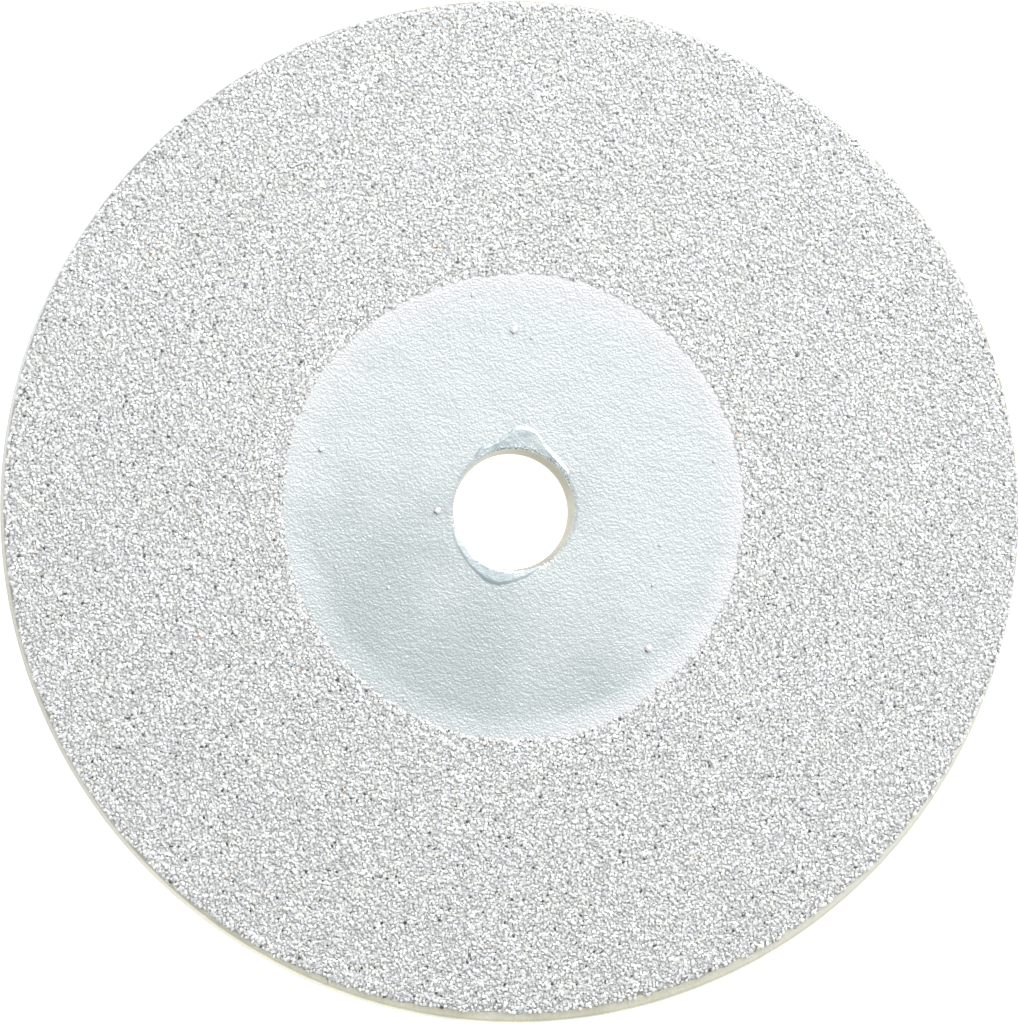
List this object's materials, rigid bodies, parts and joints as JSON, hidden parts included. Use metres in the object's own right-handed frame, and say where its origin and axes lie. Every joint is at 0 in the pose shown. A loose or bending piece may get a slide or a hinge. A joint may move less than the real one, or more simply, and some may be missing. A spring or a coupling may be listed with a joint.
{
  "type": "grit-coated carving disc",
  "caption": "Flat round grinder disc with a plain spindle bore, a smooth coated hub and a wide ring of coarse bonded grit on one face, for carving and shaping.",
  "frame": {"origin": "on the bore's axis, at the disc's back face", "axes": "+Z along the bore axis towards the grit side, +Y towards the larger bond run"},
  "size_m": [0.088, 0.088, 0.0033],
  "materials": {
    "plate_metal": "brushed, warm pale tone",
    "silver_bond": "satin silver film with a fine orange-peel ripple",
    "grit": "coarse silver-coated grains, glinting"
  },
  "bodies": {
    "root": {"core_plate": "plate_metal", "hub_coat": "silver_bond", "bond_bed": "silver_bond", "grit_layer": "grit", "bond_runs": "silver_bond", "stray_grains": "grit"}
  },
  "joints": []
}
